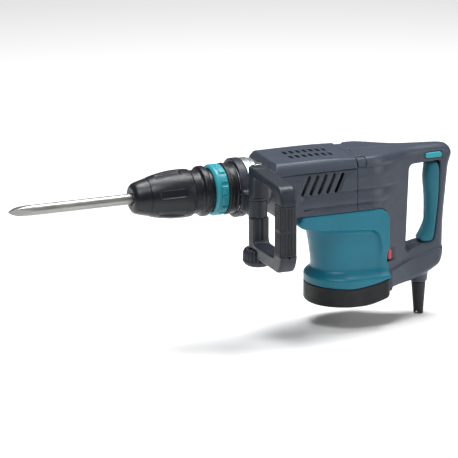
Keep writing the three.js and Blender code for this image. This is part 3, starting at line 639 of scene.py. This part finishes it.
def make_body_cover():
    plan = prism([
        (BODY_FRONT, -BODY_HALF, 6), (SEAM_X + 20, -BODY_HALF), (SEAM_X + 20, BODY_HALF),
        (BODY_FRONT, BODY_HALF, 6)])
    lower_front = prism([
        (BODY_FRONT, BODY_BOTTOM, 7), (BODY_FRONT, COVER_EDGE + 20), (SEAM_X + 30, COVER_EDGE + 20),
        (SEAM_X + 30, BODY_BOTTOM)])

    def field(x, y, z):
        side = np.abs(y) - BODY_HALF + strakes(x, z)
        d = both(both(plan(x, y), side, 1.5), lower_front(x, z), 1.2)
        d = both(d, np.maximum(z - COVER_EDGE, x - SEAM_X), SEAM_EDGE)
        cavity = both(slab(x, BODY_FRONT + SHELL, 500), np.abs(y) - BODY_HALF + SHELL + 0.5, 3)
        d = carved(d, cavity, 0.5)
        d = carved(d, np.hypot(y, z) - THROAT_R, 0.6)
        slanted = (x - LOUVRE_FIRST) - (z - LOUVRE_Z) * math.tan(LOUVRE_LEAN)
        reach = LOUVRE_PITCH * (LOUVRES - 1) / 2
        recess = np.maximum(np.abs(slanted - reach) - reach - 6, slab(z, -12.5, 23.4))
        d = carved(d, np.maximum(recess, BODY_HALF - RECESS_DEPTH - np.abs(y)), 0.5)
        for i in range(LOUVRES):
            u, w = x - (LOUVRE_FIRST + LOUVRE_PITCH * i), z - LOUVRE_Z
            across = u * math.cos(LOUVRE_LEAN) - w * math.sin(LOUVRE_LEAN)
            along = u * math.sin(LOUVRE_LEAN) + w * math.cos(LOUVRE_LEAN)
            d = carved(d, np.maximum(capsule(across, along, 2.5, 17.5, 2.3), 20 - np.abs(y)), 0.7)
        pocket = np.maximum(capsule(x - 289.5, z + 35.5, 6.5, 1.8, 1.7), BODY_HALF - 3.5 - np.abs(y))
        return carved(d, pocket, 0.4)

    add_piece("body_cover", sculpted(field, body_low, body_high, 1.2))


SHOULDER = [(0, 27, 8), (-4, 38.5, 12), (-13, 46.6, 8)]  # inward from the side, height and radius
VENTS = 7  # slots in each of the two rows
VENT_ROWS = (12.75, -14.75)
VENT_FIRST, VENT_PITCH = BODY_FRONT + 41.8, 11.6


def mirrored(corners):
    """The outline that half of it, from the right side to the top, makes with its mirror image."""
    return corners + [(-corner[0], *corner[1:]) for corner in corners[::-1]]


def make_top_cover():
    low, high = span("top_cover")
    side = prism([
        (BODY_FRONT - 3, 0), (BODY_FRONT - 3, 33, 1.5), (BODY_FRONT + 2.5, COVER_TOP - 0.6, 3),
        (320, COVER_TOP, 40), (SEAM_X, 42, 1), (SEAM_X + 20, 41), (SEAM_X + 20, 0)])
    front = prism(mirrored([(BODY_HALF, 0)] + [(BODY_HALF + u, z, r) for u, z, r in SHOULDER]))
    hollow = prism(mirrored([(BODY_HALF - SHELL, 0), (BODY_HALF - SHELL, 27, 8), (BODY_HALF - 12, 38.4, 6)]))

    def field(x, y, z):
        d = both(side(x, z), both(front(y, z), np.abs(y) - BODY_HALF + strakes(x, z), 0.5), 1.3)
        d = both(d, np.maximum(low[2] - z, x - high[0]), SEAM_EDGE)
        d = carved(d, np.maximum(hollow(y, z), BODY_FRONT + SHELL - x), 0.5)
        d = carved(d, np.hypot(y, z) - THROAT_R, 0.6)
        for middle in VENT_ROWS:
            for i in range(VENTS):
                slot = capsule(x - VENT_FIRST - VENT_PITCH * i, y - middle, 2.9, 9.3, 2.4)
                d = carved(d, np.maximum(slot, 20 - z), 0.7)
        return d

    add_piece("top_cover", sculpted(field, low, high, 1.2))


# ---- motor -------------------------------------------------------------------------------------------

MOTOR_X = (span("armature")[0][0] + span("armature")[1][0]) / 2
motor_low, motor_high = span("motor_housing")
base_low, base_high = span("bottom_cover")
PANEL_REAR = motor_high[0]
FLARE_R = base_high[1]
BASE = base_low[2]
LAMP = (span("service_lamp")[0] + span("service_lamp")[1]) / 2
CAP_TOP = base_high[2] - 15  # lowest part of the cover's top edge
MOTOR_BORE_R = 46
SHAFT_BORE_R = 14


def motor_plan(x, y, reach, half):
    """Half an ellipse in front of the motor axis and straight sides behind it."""
    u = x - MOTOR_X
    front = (np.hypot(u / reach, y / half) - 1) * np.minimum(reach, half)
    return np.where(u < 0, front, np.abs(y) - half + 0 * u)


def cap_side(clear):
    """Side view of the bottom cover, whose top edge rises to both ends."""
    return prism([
        (MOTOR_X - 75, CAP_TOP + 3 + clear), (MOTOR_X - 75, BASE - 20), (MOTOR_X + 120, BASE - 20),
        (MOTOR_X + 120, CAP_TOP + 15 + clear), (MOTOR_X + 64, CAP_TOP + 15 + clear),
        (MOTOR_X + 32, CAP_TOP + 5 + clear, 14), (MOTOR_X - 5, CAP_TOP + clear, 14)])


WAIST_REACH, WAIST_HALF = 55.5, 50.5
WAIST_Z = -146
FLARE_FROM, FLARE_TO = -150, -165


def neck_size(z):
    """Reach in front and half width of the housing, which narrows to a waist above the flare."""
    flare = ramp(z, FLARE_FROM, FLARE_TO)
    reach = WAIST_REACH + 9.5 * np.clip((z - WAIST_Z) / 60, 0, 1.1) ** 1.4
    return reach + (FLARE_R - WAIST_REACH) * flare, WAIST_HALF + (FLARE_R - WAIST_HALF) * flare


def make_motor_housing():
    nose, top = motor_low[0], motor_high[2]
    panel = prism([
        (nose, -61.5, 3), (nose + 9, top, 6), (460, top), (460, -230), (426, -230), (426, -160, 10),
        (423, -112, 10), (420, -92, 14), (410, -82.5, 8), (386, -80, 10), (nose + 66, -78, 20),
        (nose + 8, -68.5, 8)])
    rear = prism([(200, -300), (200, top), (PANEL_REAR, top, 24), (PANEL_REAR, -300)])
    cap = cap_side(0.3)

    def field(x, y, z):
        body = both(motor_plan(x, y, *neck_size(z)), slab(z, -260, -60), 6)
        width = BODY_HALF - 0.2 - 8.0 * ramp(z, -112, WAIST_Z)
        raised = both(panel(x, z), np.abs(y) - width, 3.0)
        d = both(either(raised, body, 11), rear(x, z), 1.2)
        d = carved(d, cap(x, z), 1.0)
        bore = np.hypot(x - MOTOR_X, y)
        d = carved(d, np.maximum(bore - MOTOR_BORE_R, z + 72), 0.5)
        d = carved(d, bore - SHAFT_BORE_R, 0.5)
        notch = np.maximum(slab(x, PANEL_REAR - 3, 500), slab(z, LAMP[2] - 11, LAMP[2] + 11))
        return carved(d, np.maximum(notch, y + 40), 1.0)

    add_piece("motor_housing", sculpted(field, motor_low, motor_high, 1.4))


EXHAUSTS, EXHAUST_PITCH = 5, 8  # slots in each of the two rows under the fan
EXHAUST_ROWS = (-35, 35)


def make_bottom_cover():
    cap = cap_side(0)
    foot = prism([(200, BASE), (400, BASE, 16), (PANEL_REAR + 8, -196.5), (PANEL_REAR + 8, 0), (200, 0)])

    def field(x, y, z):
        outer = both(motor_plan(x, y, FLARE_R, FLARE_R), x - base_high[0], 9)
        d = both(both(outer, foot(x, z), 5.5), cap(x, z), 2.0)
        inner = both(motor_plan(x, y, FLARE_R - SHELL, FLARE_R - SHELL), x - MOTOR_X - 47, 3)
        d = carved(d, np.maximum(inner, -206 - z), 0.5)
        for i in range(EXHAUSTS):
            for middle in EXHAUST_ROWS:
                slot = capsule(x - (MOTOR_X - 28 + EXHAUST_PITCH * i), y - middle, 2, 11, 1.9)
                d = carved(d, np.maximum(slot, z + 200), 0.5)
        return d

    add_piece("bottom_cover", sculpted(field, base_low, base_high, 1.4))


# ---- rear handle -------------------------------------------------------------------------------------

grip_low, grip_high = span("soft_grip")
lever_low, lever_high = span("switch_lever")
lamp_low, lamp_high = span("service_lamp")
guard_low, guard_high = span("cord_guard")
GRIP_REAR = grip_high[0]
HANDLE_HALF = grip_high[1]
GUARD_X = (guard_low[0] + guard_high[0]) / 2
SWITCH = (lever_low + lever_high) / 2
DIAL = (span("speed_dial")[0] + span("speed_dial")[1]) / 2

# Rear and lower edges of the soft grip in side view, which the handle follows at a small distance.
GRIP_BACK = [
    (GRIP_REAR, -4, 8), (GRIP_REAR - 1.5, -50, 20), (GRIP_REAR - 6.5, -97, 12), (GRIP_REAR - 8.5, -113, 8),
    (GRIP_REAR - 12.5, -126, 6), (GRIP_REAR - 28.5, -127, 5)]

PARTING = 379  # where the handle meets the covers
CHEST_HALF, STEM_HALF = 46, 24  # half widths of the two rooms inside
BOSS_BOTTOM = -195.6
BOSS_R, GUARD_BORE_R = 14, 9.6
SCREW_HEAD_R, SCREW_SHANK_R = 5.3, 3  # holes for the handle screws


def screw_places():
    """The axis of each handle screw as x and z, its face on the right and its tip on the left."""
    places = []
    for index in range(4):
        low, high = span(f"handle_screw_{index + 1}")
        places.append(((low[0] + high[0]) / 2, (low[2] + high[2]) / 2, high[1], low[1]))
    return places


SCREWS = screw_places()


def handle_hollow(d, x, y, z, plan):
    """The handle less the rooms for the switch, the wires, the guard, the lamp, the dial and the screws."""
    front = np.maximum(slab(x, 300, 396), np.maximum(np.abs(y) - CHEST_HALF, slab(z, -60, 36)))
    d = carved(d, front, 1)
    chest = np.maximum(slab(x, 380, 440), np.maximum(np.abs(y) - CHEST_HALF, slab(z, -40, 34)))
    d = carved(d, np.maximum(chest, plan + 7), 1)
    d = carved(d, np.maximum(slab(x, 436, 474), np.maximum(np.abs(y) - STEM_HALF, slab(z, -170, 30))), 1)
    d = carved(d, np.maximum(slab(x, 490, 550), np.maximum(np.abs(y) - 9.3, slab(z, 15, 31))), 0.3)
    d = carved(d, capsule(x - SWITCH[0], z - SWITCH[2], 16, 5.2, 5), 1.2)
    d = carved(d, np.maximum(np.hypot(x - GUARD_X, y) - GUARD_BORE_R, slab(z, -260, -165)), 0.5)
    seat = np.maximum(slab(x, LAMP[0] - 4.5, LAMP[0] + 12), slab(z, LAMP[2] - 11, LAMP[2] + 11))
    d = carved(d, np.maximum(seat, y + 40), 0.8)
    dial = np.maximum(np.abs(x - DIAL[0]) - 10.8, slab(z, DIAL[2] - 5.2, DIAL[2] + 5.2))
    d = carved(d, np.maximum(dial, DIAL[1] - 10.8 - y), 0.6)
    for x0, z0, face, tip in SCREWS:
        hole = np.hypot(x - x0, z - z0)
        head = np.maximum(hole - SCREW_HEAD_R, face - 4.5 - y)
        shank = np.maximum(hole - SCREW_SHANK_R, tip - 1 - y)
        d = carved(d, np.minimum(head, shank), 0.4)
    return d


def handle_field():
    """Both halves of the rear handle as one solid: its outline in three views, less all that it holds."""
    side = prism([
        (340, 42), (PARTING, 42, 1), (488, 43, 14), (546, 40, 16), (562, 36, 10), (571, 22, 10), (562, 4, 14),
        (552, -92, 30), (551, -150, 10), (546, -166, 9), (526, -177, 8), (491, -189, 10), (450, -190, 1),
        (449, -195, 3), (400, -200), (400, -120), (340, -120)])
    mount = prism([
        (300, BODY_BOTTOM), (PANEL_REAR + 0.3, BODY_BOTTOM, 24), (PANEL_REAR + 0.3, -260), (300, -260)])
    plan = prism([
        (340, -58.6), (420, -58, 14), (462, -36, 22), (488, -24, 18), (536, -HANDLE_HALF, 24),
        (573, -16, 14), (573, 16, 14), (536, HANDLE_HALF, 24), (488, 24, 18), (462, 36, 22),
        (420, 58, 14), (340, 58.6)])
    shoulder = prism([(-90, -400), (0, -400)] + SHOULDER + [(-90, 46.6)])
    opening = prism([(478, -137, 12), (486, 12, 10), (GRIP_REAR + 0.3, 12, 4)]
                    + [(x + 0.3, z - 0.3, r) for x, z, r in GRIP_BACK])

    def field(x, y, z):
        ledge = 3.4 * ramp(-158 + 0.206 * (x - 441) - z, -0.4, 2.2) * ramp(x, 438, 446)
        around = plan(x, y)
        section = shoulder(around + strakes(x, z) - ledge, z)
        solid = both(side(x, z), section, 3.0 + 9 * ramp(x, 400, 480))
        solid = both(solid, PARTING - x, 1.2)
        clip = np.maximum(slab(x, 370, 396), slab(z, 25.5, 60))
        clip = np.maximum(np.maximum(clip, 40 - np.abs(y)), -2.5 - solid)
        rest = np.maximum(capsule(x - 386, y + 1, 4, 9, 2), np.maximum(-2 - solid, 20 - z))
        solid = carved(carved(solid, clip, 0.6), rest, 0.4)
        solid = carved(solid, opening(x, z), 3.5)
        solid = carved(solid, mount(x, z), SEAM_EDGE)
        boss = np.hypot(x - GUARD_X, y) - BOSS_R - 3 * np.clip((z - BOSS_BOTTOM) / 23.6, 0, 1)
        solid = either(solid, both(boss, slab(z, BOSS_BOTTOM, -150), 2.5), 4)
        return handle_hollow(solid, x, y, z, around)

    return field


def make_handle():
    whole = handle_field()
    for node, side in (("handle_left", -1), ("handle_right", 1)):

        def field(x, y, z, side=side):
            return both(whole(x, y, z), 0.15 - side * y, 0.5)

        add_piece(node, sculpted(field, *span(node), 1.4))


def make_soft_grip():
    front = grip_low[0]
    side = prism([
        (front, -121.5, 3), (front + 6, -112, 8), (front + 11, -98, 12), (front + 13, -60, 20),
        (front + 10, -17, 12), (front + 14, 9, 6), (GRIP_REAR - 3.5, 9.5, 6)] + GRIP_BACK)

    def field(x, y, z):
        bow = front + 13 - 3 * ramp(z, -60, -17) + 2.5 * ramp(z, -17, 8)
        bow = bow - 20 * np.clip((-90 - z) / 32, 0, 1) ** 1.5
        depth = np.clip((GRIP_REAR - x) / (GRIP_REAR - bow), 0, 1)
        section = np.abs(y) - HANDLE_HALF * np.sqrt(1 - depth ** 2 + 0.02)
        return both(side(x, z), section * 0.8, 3.5)

    add_piece("soft_grip", sculpted(field, grip_low, grip_high, 1.0))


def make_controls():
    def lever(x, y, z):
        return both(capsule(x - SWITCH[0], z - SWITCH[2], 15, 4.6, 4.3), np.abs(y) - lever_high[1], 1.6)

    add_piece("switch_lever", sculpted(lever, lever_low, lever_high, 0.7))

    def lamp(x, y, z):
        face = capsule(x - LAMP[0], z - LAMP[2], 3.0, 9.2, 2)
        return both(face, slab(y, lamp_low[1] + 1.5, lamp_high[1]), 1.4)

    add_piece("service_lamp", sculpted(lamp, lamp_low, lamp_high, 0.4))
    dial_low, dial_high = span("speed_dial")

    def knurl(station, angle, radius):
        return radius - 0.8 * (radius > 6) * (0.5 - 0.5 * np.cos(16 * angle)) ** 2

    profile = [(dial_low[2], 0), (dial_low[2], 10, 0.8), (dial_high[2], 10, 0.8), (dial_high[2], 0)]
    add_piece("speed_dial", turned(profile, "z", (DIAL[0], DIAL[1]), 192, 1.5, knurl))


def make_guard():
    top, tip = guard_high[2], guard_low[2]

    def field(x, y, z):
        r = np.hypot(x - GUARD_X, y)
        stem = both(r - 9.2, slab(z, top - 33, top), 0.5)
        boot = both(r - 7.8 - 4.0 * (z - tip) / 52, slab(z, tip, top - 29), 1.0)
        d = carved(np.minimum(stem, boot), r - 4.5, 0.4)
        notch = np.abs(x - GUARD_X + 3.5) - (tip + 8 - z) * 0.55
        return carved(d, notch, 0.3)

    add_piece("cord_guard", sculpted(field, guard_low, guard_high, 1.0))


for make in (make_body_cover, make_top_cover, make_motor_housing, make_bottom_cover, make_handle,
             make_soft_grip, make_controls, make_guard):
    make()

# ---- side handle -------------------------------------------------------------------------------------

bolt_low, bolt_high = span("clamp_bolt")
COLUMN = (bolt_low + bolt_high)[:2] / 2
COLUMN_R = 15.5
sgrip_low, sgrip_high = span("side_grip")
GRIP = (sgrip_low + sgrip_high)[:2] / 2
GRIP_HALF = (sgrip_high - sgrip_low)[:2] / 2
LOOP_HALF = 14.5
EAR_TOP, EAR_BOTTOM = 6, -29  # ears of the clamp round the swivel column
BAND_BORE_R = 42.8
BOLT_BORE_R = 5
COLUMN_BOTTOM = -82
WINDOW_BOTTOM = -70
GRIP_WALL = 3.5  # rubber round the bar of the loop
BAND_R = span("clamp_upper")[1][2]


def make_clamps():
    for node, sign in (("clamp_upper", 1), ("clamp_lower", -1)):
        low, high = span(node)

        def field(x, y, z, sign=sign):
            barrel, column = np.hypot(y, z), np.hypot(x - COLUMN[0], y - COLUMN[1])
            height = slab(z, EAR_BOTTOM, EAR_TOP)
            ring = both(barrel - BAND_R, slab(x, BAND_FRONT, BAND_REAR), 2)
            web = both(slab(x, COLUMN[0] - 13, COLUMN[0] + 1), both(slab(y, COLUMN[1], -40), height, 3), 2)
            ear = both(column - COLUMN_R, height, 1.0)
            d = either(either(ring, web, 4), ear, 3)
            d = carved(d, barrel - BAND_BORE_R, 0.6)
            d = carved(d, column - BOLT_BORE_R, 0.5)
            return both(d, 0.15 - sign * z, 0.9)

        add_piece(node, sculpted(field, low, high, 1.0))


def grip_core(x, y, clear):
    """The slimmer bar of the loop inside the rubber grip."""
    half_x, half_y = GRIP_HALF - GRIP_WALL + clear
    return capsule(x - GRIP[0], y - GRIP[1], half_x, half_y, 5)


def make_side_handle():
    low, high = span("side_handle")
    column_y, outer_y, inner_y = COLUMN[1], sgrip_low[1], sgrip_high[1]
    top, bottom = high[2], low[2]
    outer = prism([
        (column_y + 3, COLUMN_BOTTOM), (column_y - 28.5, COLUMN_BOTTOM, 3), (column_y - 30, bottom + 1, 8),
        (outer_y + 14, bottom, 20), (outer_y, bottom + 23, 22), (outer_y, top - 22, 22),
        (outer_y + 12, top - 3, 20), (column_y - 12, top - 0.2, 4), (column_y + 3, top - 0.2)])
    window = prism([
        (column_y - 15, top - 15, 8), (column_y - 15, WINDOW_BOTTOM, 8), (inner_y - 1, WINDOW_BOTTOM, 12),
        (inner_y, -56, 10), (inner_y, top - 28, 12), (inner_y + 9, top - 17, 12)])

    def field(x, y, z):
        u = x - COLUMN[0]
        post = np.hypot(u, y - COLUMN[1])
        bar = both(carved(outer(y, z), window(y, z)), np.abs(u) - LOOP_HALF, 4.5)
        d = either(bar, both(post - COLUMN_R, slab(z, COLUMN_BOTTOM, top), 2.5), 3)
        room = np.maximum(slab(z, sgrip_low[2] - 0.3, sgrip_high[2] + 0.3), y - inner_y - 5)
        d = carved(d, np.maximum(room, -grip_core(x, y, 0)), 0.3)
        clamp = np.maximum(slab(z, EAR_BOTTOM - 0.3, EAR_TOP + 0.3), np.minimum(post - 24, column_y - y))
        d = carved(d, clamp, 0.8)
        groove = np.maximum(y - column_y + 13.8, slab(z, -66, EAR_BOTTOM + 3))
        d = carved(d, np.maximum(np.abs(u) - 1.8, groove), 0.5)
        return carved(d, post - BOLT_BORE_R, 0.5)

    add_piece("side_handle", sculpted(field, low, high, 1.2))


GRIP_FLUTES = 18


def make_side_grip():
    low, high = sgrip_low[2], sgrip_high[2]
    tier = (low + high) / 2

    def field(x, y, z):
        u, v = x - GRIP[0], y - GRIP[1]
        d = both(capsule(u, v, GRIP_HALF[0], GRIP_HALF[1], 9), slab(z, low, high), 0.8)
        bands = np.minimum(np.abs(z - tier), np.minimum(z - low, high - z))
        angle = np.arctan2(v * GRIP_HALF[0], u * GRIP_HALF[1])
        flute = (0.5 + 0.5 * np.cos(GRIP_FLUTES * angle)) ** 1.5
        d = d + 1.5 * flute * ramp(bands, 2.0, 3.2) * (d > -3)
        return carved(d, grip_core(x, y, 0.3), 0.3)

    add_piece("side_grip", sculpted(field, sgrip_low, sgrip_high, 0.8))


KNOB_GROOVES = 24


def make_knob():
    low, high = span("clamp_knob")
    bottom, top, outer = low[2], high[2], high[0] - COLUMN[0]
    profile = [
        (bottom, 0), (bottom, outer - 9, 2), (bottom + 3.5, outer - 3.5, 2), (bottom + 9, outer - 0.2, 2),
        (bottom + 11, outer - 0.6, 0.8), (top - 5, outer - 1.2, 2), (top, outer - 5, 1.5), (top, 0)]

    def shape(station, angle, radius):
        groove = 2.2 * (0.5 + 0.5 * np.cos(KNOB_GROOVES * angle)) ** 2
        return radius - np.where(radius > 12, groove * ramp(station, bottom + 9.5, bottom + 11.5), 0)

    add_piece("clamp_knob", turned(profile, "z", tuple(COLUMN), 384, 1.2, shape))


def make_bolts():
    bottom, top = bolt_low[2], bolt_high[2]
    profile = [
        (bottom, 0), (bottom, 4, 0.6), (top - 4.6, 4), (top - 4.6, 7, 0.4), (top - 0.8, 7, 0.4),
        (top, 6, 0.4), (top, 0)]

    def hexagon(station, angle, radius):
        turn = np.mod(angle, math.pi / 3) - math.pi / 6
        return np.where(radius > 4.5, np.minimum(radius, 6.1 / np.cos(turn)), radius)

    add_piece("clamp_bolt", turned(profile, "z", tuple(COLUMN), 96, 1.5, hexagon))
    for index, (x, z, face, tip) in enumerate(SCREWS):
        def field(px, y, pz, x=x, z=z, face=face, tip=tip):
            r = np.hypot(px - x, pz - z)
            head = both(r - 4.6, slab(y, face - 4, face), 0.8)
            shank = both(r - 2.6, slab(y, tip, face - 3), 0.5)
            angle = np.arctan2(pz - z, px - x)
            socket = np.maximum(r - 2.1 - 0.35 * np.cos(6 * angle), slab(y, face - 2, face + 3))
            return carved(either(head, shank, 0.3), socket, 0.15)

        node = f"handle_screw_{index + 1}"
        add_piece(node, sculpted(field, *span(node), 0.4))


for make in (make_clamps, make_side_handle, make_side_grip, make_knob, make_bolts):
    make()

# ---- studio ------------------------------------------------------------------------------------------

FLOOR_HALF = 40.0  # metres
FLOOR_GAP = 0.0005  # below the lowest piece
PAPER = (0.92, 0.92, 0.92)
WORLD_LIGHT = 0.17


def add_light(name, place, size, energy, target=(-0.1, 0, 0.15)):
    """A soft rectangular light, in metres and watts, that doesn't show itself to the camera."""
    data = bpy.data.lights.new(name, "AREA")
    data.shape = "RECTANGLE"
    data.size, data.size_y = size
    data.energy = energy
    light = bpy.data.objects.new(name, data)
    light.location = place
    light.rotation_euler = (Vector(target) - Vector(place)).to_track_quat("-Z", "Y").to_euler()
    light.visible_camera = False
    bpy.context.scene.collection.objects.link(light)


def make_studio():
    height = cad_box[0].z - FLOOR_GAP
    corners = [(u * FLOOR_HALF, v * FLOOR_HALF, height) for u, v in ((-1, -1), (1, -1), (1, 1), (-1, 1))]
    mesh = bpy.data.meshes.new("studio_floor")
    mesh.from_pydata(corners, [], [(0, 1, 2, 3)])
    floor = bpy.data.objects.new("studio_floor", mesh)
    bpy.context.scene.collection.objects.link(floor)
    paper = bpy.data.materials.new("studio_paper")
    paper.use_nodes = True
    shader = paper.node_tree.nodes["Principled BSDF"]
    shader.inputs["Base Color"].default_value = (*PAPER, 1)
    shader.inputs["Roughness"].default_value = 0.9
    floor.data.materials.append(paper)
    add_light("key", (-1.0, -1.0, 2.3), (1.0, 0.8), 34)
    add_light("top", (0.1, 0.4, 2.3), (1.8, 1.0), 84)
    add_light("side", (1.7, -1.7, 1.0), (1.0, 1.2), 21, (0.1, 0, 0.15))
    world = bpy.data.worlds.new("studio_world")
    bpy.context.scene.world = world
    world.use_nodes = True
    background = world.node_tree.nodes["Background"]
    background.inputs["Color"].default_value = (1, 1, 1, 1)
    background.inputs["Strength"].default_value = WORLD_LIGHT
    bpy.context.scene.view_settings.view_transform = "Standard"


make_studio()
